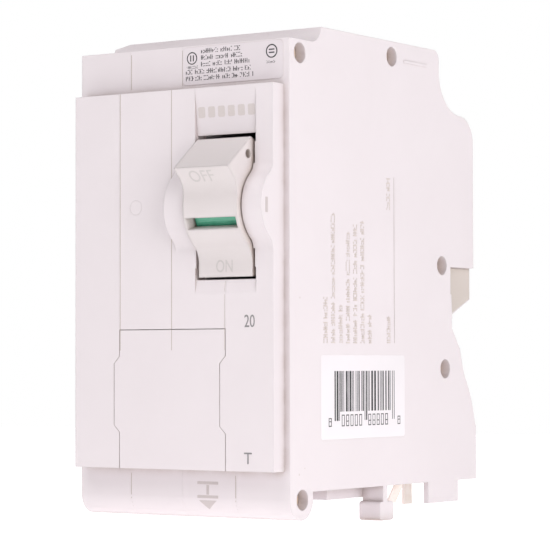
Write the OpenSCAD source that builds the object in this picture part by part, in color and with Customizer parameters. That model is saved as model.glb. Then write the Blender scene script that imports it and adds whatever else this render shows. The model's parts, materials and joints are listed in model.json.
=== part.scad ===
// Two-pole plug-on circuit breaker, as the separate pieces it comes apart into.
// Millimetres. X runs across the front, Y goes back into the panel, Z is up.
// The origin is the centre of the raised front face. The handle stands at OFF.

/* [Which piece] */
// Piece to show

/* [Case] */
// Width of one pole
pole_pitch = 25.4; // [25.4:0.1:26.4]
// Height of the raised front face
face_h = 74.3; // [74:0.1:76]
// How far the rim stands back from the raised face
rim_y = 3.65; // [3:0.05:4]
// Back of the case behind the raised face
back_y = 74.3; // [74:0.1:76]
// Highest edge of the case
crown_z = 49.25; // [49:0.05:50]
// Underside of the case
floor_z = -41.25; // [-42:0.05:-41]
// Shell thickness
wall = 1.6; // [1.4:0.1:1.8]
// Distance from the middle of the breaker to each mould seam
seam_x = 12.95; // [12.7:0.05:13.1]
// Step from the case side to the raised face
face_inset = 1.3; // [1:0.1:1.5]

/* [Handle] */
// Depth of the handle pivot
pivot_y = 4; // [3.8:0.1:4.2]
// Height of the handle pivot
pivot_z = 13.7; // [13.5:0.1:14]
// Reach of the two handle tips from the pivot
tip_r = 14.1; // [13.9:0.05:14.15]
// Radius of the handle hub between its two lobes
hub_r = 9.3; // [9:0.1:9.6]
// Handle travel from OFF to ON, in degrees
throw = 42.8; // [42:0.1:43]
// Width of the handle
handle_w = 12.7; // [12.4:0.1:12.8]
// Radius of the barrel-shaped guard beside the handle
guard_r = 8; // [7.8:0.1:8.2]

/* [Mechanism] */
// Depth of the contact carrier axis
carrier_y = 40; // [39.5:0.1:40.5]
// Height of the contact carrier axis
carrier_z = 30; // [29.5:0.1:30.5]
// Carrier axis to the middle of the moving contact
arm_len = 27; // [26.5:0.1:27]
// Handle axis to the drive pin
drive_r = 14.6; // [14.4:0.1:14.8]
// Depth of the trip bar axis
trip_y = 31; // [30.8:0.1:31.2]
// Height of the trip bar axis
trip_z = 4; // [3.5:0.1:4.5]

/* [Plug-on jaws] */
// Gap between the leaves of a line jaw
stab_gap = 1.6; // [1.4:0.1:1.8]
// Gap between the leaves of a load jaw
blade_gap = 1.4; // [1.2:0.1:1.6]

/* [Hidden] */
$fn = 96;
eps = 0.01;
half_w = pole_pitch;
face_x = half_w - face_inset;
face_z = face_h / 2;
pole_x = pole_pitch / 2;
rim_top = crown_z - 3.2;
riser_r = 3.4;
riser_y = 11.4;
block_y = 60;
shoulder_r = 5.5;
shoulder_z = 30.65;
hollow_r = back_y - shoulder_r - block_y;
stab_top = 3.8;
stab_cut_y = 64.5;
heel_y = back_y + 0.75;
heel_r = 25.5;
ledge_x = 20.5;
ledge_z = -43.6;
shoulder_w = 3.9;
shoulder_drop = 0.8;
nose_r = 3.95;
nose_z = -42.7;
skin = 1;

slot_x = 12.9;
slot_w = handle_w + 0.6;
slot_r = tip_r + 0.35;
slot_wide = handle_w + 1.3;
guard_x0 = 1;
blend_r = 3;
blend_dz = sqrt(pow(guard_r + blend_r, 2) - pow(pivot_y + blend_r, 2));
cheek_w = 2;

// Angles of the two handle tips and faces, measured about the pivot.
tip_half = 52.4;
lean = throw / 2;
flank_len = 9.8;
flank_tilt = 16.5;
sweep_r = 4.5;
flag_r = 7;
window_w = 10.6;
window_lip_w = 11.9;
window_h = 2.3;
tie_y = -1.3;
tie_z = 23.6;

centre_dy = carrier_y - pivot_y;
centre_dz = carrier_z - pivot_z;
centre_dist = norm([centre_dy, centre_dz]);
centre_angle = atan2(centre_dz, centre_dy);
drive_angle = centre_angle + lean;
drive_y = pivot_y + drive_r * cos(drive_angle);
drive_z = pivot_z + drive_r * sin(drive_angle);
fork_reach = norm([carrier_y - drive_y, carrier_z - drive_z]);
fork_angle = atan2(carrier_z - drive_z, carrier_y - drive_y);
// Half of the angle that the fork swings through while the handle is thrown.
fork_half = atan2(drive_r * sin(lean), centre_dist - drive_r * cos(lean));
arm_mid = 23;
arm_open = arm_mid - fork_half;
arm_shut = arm_mid + fork_half;
rotor_r = 5;
rotor_end = 17.5;
shaft_r = 1.5;
running = 0.05;
contact_r = 2.1;
arm_half = 2.2;

rivet_spots = [[7.3, 43.4], [41.1, 46.1], [61, 4], [62.2, -17.7], [7.9, nose_z]];
rivet_bore = 1.6;
rivet_sink = 3;
boss_r = 3.4;

label_t = 0.1;

plate_t = 1.8;
plate_top = -9.75;
key_step = 1.35;

lug_x = 7.2;
lug_y = 14.5;
lug_w = 8.6;
lug_top = -26.4;
strap_z = -37.6;
strap_t = 1.2;
wire_r = 2.9;
screw_z = -30.6;
bimetal_y = 26;
yoke_front = 22.9;
armature_y = 20;
armature_z = -31;
load_x = pole_x + 1.6;
load_y0 = 61.6;
load_y1 = 64.8;
load_tip = -46.4;
jaw_y = 66.2;
post_y = pivot_y + 30 * cos(centre_angle);
post_z = pivot_z + 30 * sin(centre_angle);
spring_x = slot_x + 6.9;
// Room from the arm's middle to the fixed contact when the contacts are shut.
meet = arm_half + 1.2 + 0.15;
pad_t = 1.2;
plate_angles = [for (a = [7 : 4.5 : 25]) a];

// ---------- drawing helpers ----------

// A flat outline in depth and height, drawn out between two places across the width.
module along_x(x0, x1) {
  translate([x0, 0, 0])
    rotate([90, 0, 90])
      linear_extrude(x1 - x0)
        children();
}

// A flat outline in width and height, drawn out between two depths.
module along_y(y0, y1) {
  translate([0, y1, 0])
    rotate([90, 0, 0])
      linear_extrude(y1 - y0)
        children();
}

// A flat outline in width and depth, drawn out between two heights.
module along_z(z0, z1) {
  translate([0, 0, z0])
    linear_extrude(z1 - z0)
      children();
}

// A rectangle given by its lower and upper corners.
module area(a0, a1, b0, b1) {
  translate([a0, b0])
    square([a1 - a0, b1 - b0]);
}

// A block given by its lower and upper corners.
module block(x0, x1, y0, y1, z0, z1) {
  translate([x0, y0, z0])
    cube([x1 - x0, y1 - y0, z1 - z0]);
}

// A round bar along the width.
module bar(y, z, r, x0, x1) {
  translate([x0, y, z])
    rotate([0, 90, 0])
      cylinder(r = r, h = x1 - x0);
}

// A round bar along the depth.
module bar_y(x, z, r, y0, y1) {
  translate([x, y0, z])
    rotate([-90, 0, 0])
      cylinder(r = r, h = y1 - y0);
}

// What is left of a square corner outside its rounding.
module corner_waste(r) {
  difference() {
    square(r + 1);
    circle(r);
  }
}

// A rectangle with rounded corners.
module round_area(a0, a1, b0, b1, r) {
  area(a0 + r, a1 - r, b0, b1);
  area(a0, a1, b0 + r, b1 - r);
  for (a = [a0 + r, a1 - r], b = [b0 + r, b1 - r])
    translate([a, b])
      circle(r);
}

// A wire of round section that follows a list of points, none of it heading along `up`.
module wire(path, r, sides = 8, up = [1, 0, 0]) {
  n = len(path);
  function heading(i) =
    let (d = path[min(i + 1, n - 1)] - path[max(i - 1, 0)])
    d / norm(d);
  function across(d) = cross(d, up) / norm(cross(d, up));
  points = [
    for (i = [0 : n - 1])
      let (d = heading(i), u = across(d), v = cross(d, u))
      for (k = [0 : sides - 1])
        path[i] + r * (cos(360 * k / sides) * u + sin(360 * k / sides) * v)
  ];
  skins = [
    for (i = [0 : n - 2], k = [0 : sides - 1])
      let (a = i * sides + k, b = i * sides + (k + 1) % sides)
      each [[a, b, b + sides], [a, b + sides, a + sides]]
  ];
  ends = [
    [for (k = [sides - 1 : -1 : 0]) k],
    [for (k = [0 : sides - 1]) (n - 1) * sides + k]
  ];
  polyhedron(points, concat(skins, ends));
}

// Points of a coil that runs between two places.
function coil(from, to, r, turns, steps = 16) =
  let (
    axis = to - from,
    d = axis / norm(axis),
    u = cross(d, [1, 0, 0]) / norm(cross(d, [1, 0, 0])),
    v = cross(d, u),
    n = turns * steps
  )
  [for (i = [0 : n])
    from + axis * i / n + r * (cos(360 * i / steps) * u + sin(360 * i / steps) * v)];

// Puts something drawn about the middle of a pole into the left (-1) or right (1) pole.
module in_pole(side) {
  translate([side * pole_x, 0, 0])
    children();
}

// Draws the right-hand thing, or its mirror image for the left pole.
module on_side(side) {
  mirror([side < 0 ? 1 : 0, 0, 0])
    children();
}

// ---------- case ----------

// The case seen from the side, without the tongue over the stab slot.
module case_side() {
  difference() {
    union() {
      area(rim_y, block_y, floor_z, rim_top);
      area(riser_y, block_y, floor_z, crown_z);
      area(rim_y, rim_y + 2 * nose_r, nose_z, floor_z + eps);
      translate([rim_y + nose_r, nose_z])
        circle(nose_r);
      area(block_y - eps, back_y - shoulder_r, stab_top, shoulder_z + shoulder_r + hollow_r);
      area(block_y - eps, back_y, stab_top, shoulder_z);
      translate([back_y - shoulder_r, shoulder_z])
        circle(shoulder_r);
      case_heel();
    }
    translate([riser_y, rim_top + riser_r])
      circle(riser_r);
    translate([back_y - shoulder_r, shoulder_z + shoulder_r + hollow_r])
      circle(hollow_r);
    translate([block_y - 2, crown_z - 2])
      corner_waste(2);
  }
}

// The lower back of the case, which swells out to the heel.
module case_heel() {
  polygon([
    [block_y - eps, floor_z],
    [heel_y, floor_z],
    [heel_y, -30.1],
    [69.6, -17.5],
    [68.4, -13.5],
    [65.1, -9.2],
    [stab_cut_y, stab_top],
    [block_y - eps, stab_top + eps]
  ]);
  intersection() {
    translate([heel_y - heel_r, -34])
      circle(heel_r, $fn = 160);
    area(block_y, heel_y, -36, -16);
  }
}

// The tongue that the inner walls carry over the stab slot.
module stab_tongue() {
  polygon([
    [stab_cut_y - 1, stab_top + eps],
    [back_y, stab_top + eps],
    [back_y, -2.9],
    [65.3, -6.9],
    [stab_cut_y - 1, -9]
  ]);
}

// The hollow inside each pole, seen from the side.
module hollow_side() {
  difference() {
    union() {
      area(rim_y + wall, block_y - wall, floor_z + wall, rim_top - wall);
      area(riser_y + riser_r + wall, block_y - wall, 0, crown_z - wall);
      area(block_y - wall - eps, back_y - wall, stab_top + wall, shoulder_z - 1);
      polygon([
        [block_y - wall - eps, floor_z + wall],
        [heel_y - wall, floor_z + wall],
        [heel_y - wall, -30.6],
        [67.4, -17.2],
        [62.9, -8.2],
        [62.9, stab_top + 2 * wall],
        [block_y - wall - eps, stab_top + 2 * wall]
      ]);
    }
    for (p = rivet_spots)
      translate(p)
        circle(boss_r);
  }
}

// The guard's barrel and the soft blends where it grows out of the raised face.
module guard_side() {
  translate([pivot_y, pivot_z])
    circle(guard_r);
  for (s = [-1, 1])
    difference() {
      polygon([
        [pivot_y, pivot_z],
        [0.2, pivot_z + s * blend_dz],
        [0, pivot_z + s * blend_dz],
        [pivot_y - guard_r * (pivot_y + blend_r) / (guard_r + blend_r),
         pivot_z + s * guard_r * blend_dz / (guard_r + blend_r)]
      ]);
      translate([-blend_r, pivot_z + s * blend_dz])
        circle(blend_r);
    }
}

// Everything that is cut out of the case shells for the handle.
module handle_slot() {
  bar(pivot_y, pivot_z, slot_r, slot_x - slot_w / 2, slot_x + slot_w / 2);
  // Above and below the guards the slot is a little wider.
  along_x(slot_x - slot_wide / 2, slot_x + slot_wide / 2)
    intersection() {
      translate([pivot_y, pivot_z])
        circle(slot_r);
      union() {
        area(-1, 3, pivot_z + blend_dz - 0.3, pivot_z + slot_r + 1);
        area(-1, 3, pivot_z - slot_r - 1, pivot_z - blend_dz + 0.3);
      }
    }
  along_x(slot_x - slot_wide / 2 - 0.2, slot_x + slot_wide / 2 + 0.2) {
    polygon([[-1, 36.4], [0, 36.4], [0.9, 26], [-1, 26]]);
    polygon([[-1, 2], [0.7, 2], [0, -3], [-1, -3]]);
  }
}

// The blank plate between the two seams, smaller all round by a fitting gap.
module plate_front(gap) {
  x1 = seam_x - gap;
  x2 = seam_x - key_step - gap;
  polygon([
    [-x1, -face_z],
    [-x1, -30],
    [-x1 - key_step, -30 + key_step],
    [-x1 - key_step, -15.1 - key_step],
    [-x1, -15.1],
    [-x1, plate_top - gap],
    [x1, plate_top - gap],
    [x1, -15.1],
    [x2, -15.1 - key_step],
    [x2, -30 + key_step],
    [x1, -30],
    [x1, -face_z]
  ]);
}

// Low ledge under the floor, set in from both sides.
module under_ledge(x0, x1) {
  along_x(x0, x1)
    area(23.9, 40, ledge_z, floor_z + eps);
}

// All the case material between two places across the width, before hollowing.
module case_solid(x0, x1) {
  along_x(x0, x1) {
    case_side();
    stab_tongue();
  }
  under_ledge(max(x0, -ledge_x), min(x1, ledge_x));
  intersection() {
    block(max(x0, -face_x), min(x1, face_x), -10, rim_y + 1, -60, 60);
    union() {
      block(-face_x, face_x, 0, rim_y + eps, -face_z, face_z);
      along_x(guard_x0, face_x)
        guard_side();
    }
  }
}

// The parts of the case that reach inward: cheeks for the handle pin and the rivet bosses.
module handle_cheeks() {
  for (x = [slot_x - slot_w / 2 - cheek_w, slot_x + slot_w / 2])
    intersection() {
      bar(pivot_y, pivot_z, slot_r + 1, x, x + cheek_w);
      block(-50, 50, 0.5, 9, -50, 50);
    }
}

// Holes and slots that run through several shells.
module shared_cuts() {
  handle_slot();
  bar(pivot_y, pivot_z, 1.25, slot_x - slot_w / 2 - cheek_w - 1, slot_x + slot_w / 2 + cheek_w - 0.2);
  for (p = rivet_spots) {
    bar(p[0], p[1], rivet_bore, -half_w - 1, half_w + 1);
    for (x = [-half_w - 1, half_w - rivet_sink])
      bar(p[0], p[1], 2, x, x + rivet_sink + 1);
  }
  bar(carrier_y, carrier_z, rotor_r + 0.5, -wall - 1, wall + 1);
  bar(trip_y, trip_z, 3, -wall - 1, wall + 1);
  for (s = [-1, 1]) {
    stab_slot(s * pole_x);
    block(load_x - pole_x + s * pole_x - 4.2, load_x - pole_x + s * pole_x + 4.2,
          load_y0 - 1, load_y1 + 1, floor_z - 1, floor_z + wall + 1);
    translate([s * lug_x, lug_y, floor_z - 2])
      cylinder(r = wire_r, h = 5);
    bar_y(s * lug_x, screw_z, 2.6, 0.5, rim_y + wall + 1);
  }
  along_y(-1, plate_t + 0.2)
    plate_front(0);
}

// The slot at the back that lets the panel's stab reach the line jaw.
module stab_slot(x) {
  block(x - 2.8, x + 2.8, 62, back_y + 1, -10, stab_top + 0.6);
  block(x - 3.2, x + 3.2, 62, jaw_y + 1.4, -9, stab_top + wall + 0.2);
}

// One shell: its share of the case, hollowed from the seam side.
module shell(x0, x1, hollow_x0, hollow_x1) {
  difference() {
    union() {
      difference() {
        case_solid(x0, x1);
        along_x(hollow_x0, hollow_x1)
          hollow_side();
        block(max(hollow_x0, wall - face_x), min(hollow_x1, face_x - wall),
              plate_t + 0.2 + wall, rim_y + wall + 1, -face_z + wall, face_z - wall);
      }
      intersection() {
        handle_cheeks();
        block(x0, x1, -50, 80, -60, 60);
      }
      children();
    }
    shared_cuts();
  }
}

// A cover is the outer half of a pole, drawn for the right pole.
module outer_shell() {
  difference() {
    shell(seam_x, half_w, seam_x - 1, half_w - wall) {
      shaft_seat(carrier_y, carrier_z, half_w - wall, rotor_end + 0.3);
      shaft_seat(trip_y, trip_z, half_w - wall, 22.3);
      rail_hook();
      rear_tab();
      children();
    }
    stab_step();
    bar(carrier_y, carrier_z, shaft_r, 15, half_w - wall + 0.6);
    bar(trip_y, trip_z, 1, 15, half_w - wall + 0.6);
  }
}

// Boss on the inside of a cover that holds a shaft end.
module shaft_seat(y, z, x_wall, x_end) {
  bar(y, z, 3, x_end, x_wall + eps);
}

// The outer skin stops short of the stab slot.
module stab_step() {
  along_x(half_w - skin, half_w + 1)
    difference() {
      area(stab_cut_y, back_y + 1, -8.4, stab_top);
      polygon([[50, -8.4], [66, -8.4], [65.2, -6.9], [64.9, -2], [50, -2]]);
    }
}

// Foot under the case that catches the panel's rail.
module rail_hook() {
  along_x(half_w - 4.9, half_w) {
    area(37.3, 38.9, -45, floor_z + 1);
    round_area(36, 41.1, -48.2, -44.4, 0.7);
  }
}

// Thin tab that guards the load jaw.
module rear_tab() {
  block(half_w - 1.1, half_w, 55, 67.3, -45.6, floor_z + 1);
}

module right_cover() {
  color("whitesmoke") {
    difference() {
      outer_shell() {
        bar(post_y, post_z, 1.1, 18, half_w - wall + eps);
        cover_tab();
      }
      along_x(half_w - label_t, half_w + 1)
        side_label_front();
    }
    plate_key();
  }
}

// Tab of the right cover that laps over the base above the handle.
module cover_tab() {
  along_y(0, plate_t + 0.2)
    area(slot_x - slot_wide / 2 - 0.2, seam_x + 1, 26, face_z);
}

// Key on the right cover that fits the step in the front plate's edge.
module plate_key() {
  along_y(0, plate_t + 0.2)
    polygon([
      [seam_x + 1, -30],
      [seam_x, -30],
      [seam_x - key_step, -30 + key_step],
      [seam_x - key_step, -15.1 - key_step],
      [seam_x, -15.1],
      [seam_x + 1, -15.1]
    ]);
}

module left_cover() {
  color("whitesmoke")
    difference() {
      union() {
        along_x(-half_w + skin, -seam_x) {
          case_side();
          stab_tongue();
        }
        under_ledge(-ledge_x, -seam_x);
        along_x(-half_w, -half_w + skin)
          case_side();
        block(-face_x, -seam_x, 0, rim_y + eps, -face_z, face_z);
        mirror([1, 0, 0]) {
          rail_hook();
          rear_tab();
        }
      }
      difference() {
        union() {
          along_x(-half_w + wall, -seam_x + 1)
            hollow_side();
          block(-face_x + wall, -seam_x + 1, plate_t + 0.2 + wall, rim_y + wall + 1,
                -face_z + wall, face_z - wall);
        }
        mirror([1, 0, 0]) {
          shaft_seat(carrier_y, carrier_z, half_w - wall, rotor_end + 0.3);
          shaft_seat(trip_y, trip_z, half_w - wall, 22.3);
        }
      }
      crown_shoulder();
      shared_cuts();
      bar(carrier_y, carrier_z, shaft_r, -half_w + wall - 0.6, -15);
      bar(trip_y, trip_z, 1, -half_w + wall - 0.6, -15);
    }
}

// The left cover's crown falls away a little towards its outer edge.
module crown_shoulder() {
  along_y(rim_y, block_y + 1)
    polygon([
      [-half_w - 1, crown_z + 1],
      [-half_w - 1, crown_z - shoulder_drop - shoulder_drop / shoulder_w],
      [-half_w + shoulder_w, crown_z],
      [-half_w + shoulder_w, crown_z + 1]
    ]);
}

// A base is the inner half of a pole.
module right_base() {
  color("whitesmoke")
    difference() {
      shell(0, seam_x, wall, seam_x + 1);
      plate_key();
      cover_tab();
    }
}

module left_base() {
  color("whitesmoke")
    shell(-seam_x, 0, -seam_x - 1, -wall);
}

module front_plate() {
  color("whitesmoke")
    along_y(0, plate_t)
      plate_front(0.12);
}

module rating_label() {
  color("white")
    along_y(rim_y - label_t, rim_y)
      round_area(0.2, 24, 38.3, 45.7, 0.9);
}

module side_label() {
  color("white")
    along_x(half_w - label_t, half_w)
      side_label_front();
}

module side_label_front() {
  round_area(14.5, 45.7, -31.4, -14.9, 0.5);
}

// Tubular rivets that hold the four shells together.
module case_rivets() {
  color("silver")
    for (p = rivet_spots)
      difference() {
        union() {
          bar(p[0], p[1], rivet_bore - 0.05, -half_w + rivet_sink - 0.8, half_w - rivet_sink + 0.8);
          for (x = [-half_w + rivet_sink - 0.8, half_w - rivet_sink])
            bar(p[0], p[1], 1.9, x, x + 0.8);
        }
        for (x = [-half_w, half_w - rivet_sink - 2])
          bar(p[0], p[1], 0.9, x, x + rivet_sink + 2);
      }
}

// ---------- handle ----------

// A point on the handle, from its angle above the middle of the hub.
function round_point(r, a) = [-r * cos(a), r * sin(a)];

// The handle's outline about its own pivot, middle of the hub to the front.
module handle_side() {
  circle(hub_r);
  for (s = [-1, 1])
    flip_up(s)
      handle_lobe();
}

// One lobe: the flank behind the tip, the finger face and its sweep into the hub.
module handle_lobe() {
  tip = round_point(tip_r, tip_half);
  out = [-cos(lean), -sin(lean)];
  down = [sin(lean), -cos(lean)];
  flank = [cos(flank_tilt), sin(flank_tilt)];
  face_out = tip * out;
  // The sweep dips a hair into the finger face and the hub, so it meets both cleanly.
  reach = sweep_r - 0.02;
  sweep = -sqrt(pow(hub_r + reach, 2) - pow(face_out + reach, 2));
  centre = (face_out + reach) * out + sweep * down;
  difference() {
    polygon([
      tip,
      tip + flank_len * flank,
      [5, 9],
      [0, 0],
      centre * hub_r / (hub_r + reach),
      face_out * out + sweep * down
    ]);
    translate(centre)
      circle(sweep_r);
  }
}

// Mirrors an outline top to bottom when asked to.
module flip_up(s) {
  mirror([0, s < 0 ? 1 : 0])
    children();
}

// Puts something drawn about the handle pivot into the case at the OFF angle.
module at_handle() {
  translate([0, pivot_y, pivot_z])
    rotate([lean, 0, 0])
      children();
}

module handle() {
  x0 = slot_x - handle_w / 2;
  x1 = slot_x + handle_w / 2;
  ear = 2;
  color("white")
    difference() {
      union() {
        at_handle()
          along_x(x0, x1)
            handle_side();
        for (x = [slot_x - 4.2, slot_x + 2.2])
          along_x(x, x + ear)
            handle_ear();
      }
      at_handle() {
        bar(0, 0, hub_r - 2, x0 + 0.75, x1 - 0.75);
        along_z(-window_h / 2, window_h / 2)
          window_plan();
      }
      bar(pivot_y, pivot_z, 1.25 + running, x0 - 1, x1 + 1);
      bar(tie_y, tie_z, 0.85, x0 - 1, x1 + 1);
      bar(drive_y, drive_z, 1.2, 0, 30);
    }
}

// The flag window from above, flared towards the lip at both ends.
module window_plan() {
  polygon([
    [slot_x - window_lip_w / 2, -12],
    [slot_x + window_lip_w / 2, -12],
    [slot_x + window_lip_w / 2, -hub_r],
    [slot_x + window_w / 2, -flag_r],
    [slot_x + window_w / 2, -3],
    [slot_x - window_w / 2, -3],
    [slot_x - window_w / 2, -flag_r],
    [slot_x - window_lip_w / 2, -hub_r]
  ]);
}

// Ear behind the handle that carries the drive pin.
module handle_ear() {
  translate([drive_y, drive_z])
    circle(2.4);
  translate([pivot_y, pivot_z])
    rotate(drive_angle)
      area(hub_r - 1, drive_r, -2.2, 2.2);
}

module handle_pin() {
  color("silver")
    bar(pivot_y, pivot_z, 1.25, slot_x - slot_w / 2 - cheek_w - 1 + 0.1, slot_x + slot_w / 2 + cheek_w - 0.3);
}

// Drum that stays still inside the handle and shows its colour through the window.
module status_drum() {
  color("gainsboro")
    difference() {
      bar(pivot_y, pivot_z, flag_r, slot_x - 5.3, slot_x + 5.3);
      bar(pivot_y, pivot_z, 1.25, 0, 30);
      flag_band(-34, -9, 0);
      flag_band(9, 34, 0);
    }
}

// A curved coloured strip let into the drum.
module flag_band(a0, a1, gap) {
  translate([0, pivot_y, pivot_z])
    along_x(slot_x - 5.3 + gap, slot_x + 5.3 - gap)
      difference() {
        intersection() {
          circle(flag_r);
          polygon([
            [0, 0],
            round_point(12, a0),
            round_point(12, (a0 + a1) / 2),
            round_point(12, a1)
          ]);
        }
        circle(flag_r - 0.8);
      }
}

module green_flag() {
  color("seagreen")
    flag_band(-34, -9, 0);
}

module red_flag() {
  color("firebrick")
    flag_band(9, 34, 0);
}

module drive_pin() {
  color("silver")
    bar(drive_y, drive_z, 1.2, slot_x - 4.2, slot_x + 8.6);
}

// Compression spring that snaps the handle past its middle.
module toggle_spring() {
  away = [0, post_y - drive_y, post_z - drive_z];
  d = away / norm(away);
  start = [spring_x, drive_y, drive_z];
  color("silver")
    wire(coil(start + 1.9 * d, start + away - 1.9 * d, 1.3, 8), 0.28, up = d);
}

// ---------- contacts ----------

// Puts something drawn about the carrier axis, arm straight down, at the open angle.
module at_carrier() {
  translate([0, carrier_y, carrier_z])
    rotate([arm_open, 0, 0])
      children();
}

module arm_blank() {
  polygon([
    [-3.2, -2.2],
    [3.2, -2.2],
    [3.2, -7],
    [arm_half, -12],
    [arm_half, -arm_len - 2.4],
    [-arm_half, -arm_len - 2.4],
    [-arm_half, -12],
    [-3.2, -7]
  ]);
}

module contact_carrier() {
  color("dimgray")
    difference() {
      union() {
        bar(carrier_y, carrier_z, rotor_r, -rotor_end, rotor_end);
        translate([0, carrier_y, carrier_z])
          along_x(slot_x - 1.6, slot_x + 1.6)
            rotate(fork_angle)
              polygon([
                [0, -4.4],
                [-12, -3.6],
                [-fork_reach - 1.9, -3.2],
                [-fork_reach - 1.9, 3.2],
                [-12, 3.6],
                [0, 4.4]
              ]);
      }
      translate([0, carrier_y, carrier_z])
        along_x(slot_x - 3, slot_x + 3)
          rotate(fork_angle)
            area(-fork_reach - 3, -fork_reach + 3.6, -1.65, 1.65);
      bar(carrier_y, carrier_z, shaft_r + running, -30, 30);
      for (s = [-1, 1])
        at_carrier()
          along_x(s * pole_x - 1.3, s * pole_x + 1.3)
            arm_blank();
    }
}

module carrier_shaft() {
  color("silver")
    bar(carrier_y, carrier_z, shaft_r, -half_w + wall - 0.5, half_w - wall + 0.5);
}

module contact_arm(side) {
  color("peru")
    in_pole(side)
      at_carrier()
        along_x(-1.25, 1.25)
          arm_blank();
}

module moving_contact(side) {
  color("silver")
    in_pole(side)
      at_carrier()
        bar_y(0, -arm_len, contact_r, arm_half, arm_half + 1.2);
}

// Where the contacts meet, in the frame of the closed arm.
module at_shut() {
  translate([0, carrier_y, carrier_z])
    rotate([arm_shut, 0, 0])
      children();
}

module fixed_contact(side) {
  color("silver")
    in_pole(side)
      at_shut()
        bar_y(0, -arm_len, contact_r, meet, meet + pad_t);
}

// Line conductor: pad behind the fixed contact, a step over the rivet and the plug-on jaw.
module line_jaw(side) {
  step_z = 9;
  color("peru")
    in_pole(side) {
      at_shut()
        block(-3, 3, meet + pad_t, meet + pad_t + 1.2, -arm_len - 3.4, -arm_len + 3.4);
      along_x(-3, 3) {
        area(61.6, jaw_y + 1.2, step_z - 1.2, step_z);
        area(jaw_y, jaw_y + 1.2, -6.2, step_z);
      }
      for (s = [-1, 1])
        mirror([s < 0 ? 1 : 0, 0, 0]) {
          block(stab_gap / 2, stab_gap / 2 + 0.7, jaw_y - 1.2, 69, -6.2, 2.4);
          jaw_lip(stab_gap / 2, 0.7, 69);
        }
    }
}

// Flared lead-in at the mouth of a jaw.
module jaw_lip(x, t, y) {
  translate([0, 0, -6.2])
    linear_extrude(8.6)
      polygon([[x, y - eps], [x + t, y - eps], [x + t + 0.6, y + 1.1], [x + 0.6, y + 1.1]]);
}

// ---------- arc chute ----------

module arc_plates(side) {
  color("slategray")
    in_pole(side)
      for (a = plate_angles)
        translate([0, carrier_y, carrier_z])
          rotate([a, 0, 0])
            along_y(-0.5, 0.5)
              difference() {
                area(-4.5, 4.5, -40, -31);
                polygon([[-2.4, -30.9], [2.4, -30.9], [0, -36]]);
              }
}

module arc_frame(side) {
  color("firebrick")
    in_pole(side)
      for (x = [-5.4, 4.55])
        translate([0, carrier_y, carrier_z])
          along_x(x, x + 0.85)
            intersection() {
              difference() {
                circle(41);
                circle(30.6);
              }
              polygon([
                [0, 0],
                [60 * sin(3), -60 * cos(3)],
                [60 * sin(28), -60 * cos(28)]
              ]);
            }
}

// ---------- trip unit ----------

module trip_bar() {
  color("dimgray")
    difference() {
      union() {
        bar(trip_y, trip_z, 2.3, -22, 22);
        for (s = [-1, 1])
          in_pole(s)
            along_x(-5.7, 2.6) {
              area(trip_y - 1, trip_y + 0.6, trip_z - 13, trip_z);
              translate([trip_y - 0.2, trip_z - 13])
                circle(0.8);
            }
      }
      bar(trip_y, trip_z, 1 + running, -30, 30);
    }
}

module trip_shaft() {
  color("silver")
    bar(trip_y, trip_z, 1, -half_w + wall - 0.5, half_w - wall + 0.5);
}

// Torsion spring that holds the trip bar against its rest.
module trip_spring() {
  x0 = 17.5;
  turns = 4;
  steps = 16;
  color("silver")
    wire(concat(
      [[x0, trip_y + 9, trip_z + 2.9]],
      [for (i = [0 : turns * steps])
        [x0 + 0.75 * i / steps,
         trip_y + 2.9 * sin(360 * i / steps),
         trip_z + 2.9 * cos(360 * i / steps)]],
      [[x0 + 0.75 * turns, trip_y + 9, trip_z + 2.9]]
    ), 0.3);
}

module armature(side) {
  color("slategray")
    in_pole(side)
      difference() {
        union() {
          block(-5.7, 5.7, armature_y, armature_y + 1.4, armature_z + 1.8, -8);
          block(-5.7, -4.2, armature_y, 29.3, -9.2, -8);
          block(-5.7, -4.2, 28.1, 29.3, -9.2, -5.4);
          bar(armature_y + 0.7, armature_z, 1.6, -5.7, 5.7);
          block(-5.7, 5.7, armature_y, armature_y + 1.4, armature_z, armature_z + 2);
        }
        bar(armature_y + 0.7, armature_z, 0.8 + running, -10, 10);
      }
}

module armature_pins() {
  color("silver")
    for (s = [-1, 1])
      in_pole(s)
        bar(armature_y + 0.7, armature_z, 0.8, -7, 7);
}

module magnet_yoke(side) {
  color("slategray")
    in_pole(side)
      along_z(-27, -12) {
        area(-5.7, 5.7, 28.5, 30);
        for (x = [-5.7, 4.2])
          area(x, x + 1.5, yoke_front, 30);
      }
}

module bimetal(side) {
  color("burlywood")
    in_pole(side) {
      block(-3, 3, bimetal_y, bimetal_y + 1, strap_z + strap_t, -5);
      bar_y(0, -7, 1.2, bimetal_y + 0.5, 29.2);
    }
}

// Load strap from the wire lug to the foot of the bimetal.
module load_strap(side) {
  color("peru")
    on_side(side)
      difference() {
        union() {
          block(lug_x - 4, pole_x + 4, 10, 31.2, strap_z, strap_z + strap_t);
          block(pole_x - 3, pole_x + 3, 30, 31.2, strap_z, -31);
        }
        translate([lug_x, lug_y, strap_z - 1])
          cylinder(r = wire_r, h = 4);
        bar_y(pole_x, -33.4, 1.2, 28, 33);
      }
}

module calibration_screws() {
  color("goldenrod")
    for (s = [-1, 1])
      difference() {
        union() {
          bar_y(s * pole_x, -33.4, 1.2, bimetal_y + 1, 33);
          bar_y(s * pole_x, -33.4, 1.9, 32, 33.4);
        }
        block(s * pole_x - 3, s * pole_x + 3, 32.8, 34, -33.7, -33.1);
      }
}

module wire_lug(side) {
  color("silver")
    on_side(side)
      difference() {
        block(lug_x - lug_w / 2, lug_x + lug_w / 2, lug_y - 4.5, lug_y + 4.3,
              strap_z + strap_t, lug_top);
        translate([lug_x, lug_y, -50])
          cylinder(r = wire_r, h = 50);
        bar_y(lug_x, screw_z, 1.9, 5, lug_y);
      }
}

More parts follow.
